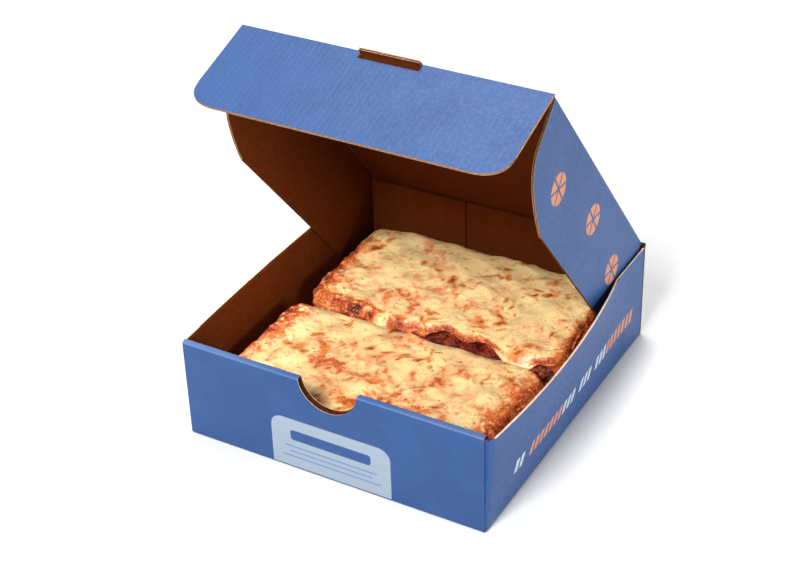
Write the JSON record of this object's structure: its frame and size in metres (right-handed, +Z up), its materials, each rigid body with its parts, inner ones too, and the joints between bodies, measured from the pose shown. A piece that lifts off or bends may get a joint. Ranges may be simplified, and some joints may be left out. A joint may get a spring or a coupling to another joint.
{
  "type": "pizza slices in a takeaway box",
  "caption": "Thick rectangular cheese pizza slices side by side in a printed corrugated takeaway box with a hinged lid, standing open.",
  "frame": {"origin": "middle of the tray's underside", "axes": "+X to the right and -Y to the front for someone facing the open box, +Z up; the lid is hinged along the back"},
  "size_m": [0.2111, 0.222, 0.2387],
  "materials": {
    "printed_board": "corrugated board, satin blue print outside, brown kraft inside and at the cut edges",
    "baked_bread": "baked dough, browned where it touched the tin",
    "tomato_sauce": "wet reduced tomato sauce",
    "melted_cheese": "melted grated cheese, oily and lightly browned"
  },
  "bodies": {
    "tray": {"tray": "printed_board", "back_slice_bread": "baked_bread", "back_slice_sauce": "tomato_sauce", "back_slice_cheese": "melted_cheese", "front_slice_bread": "baked_bread", "front_slice_sauce": "tomato_sauce", "front_slice_cheese": "melted_cheese"},
    "lid": {"lid": "printed_board"},
    "front_flap": {"front_flap": "printed_board"}
  },
  "joints": [
    {"name": "lid_hinge", "type": "hinge", "parent": "tray", "child": "lid", "pos_m": [0, 0.11025, 0.06805], "axis": [-1, 0, 0], "range_deg": [-46.5, 129.5]},
    {"name": "front_flap_crease", "type": "hinge", "parent": "lid", "child": "front_flap", "pos_m": [0, -0.02695, 0.23449], "axis": [1, 0, 0], "range_deg": [-69, 26]}
  ]
}
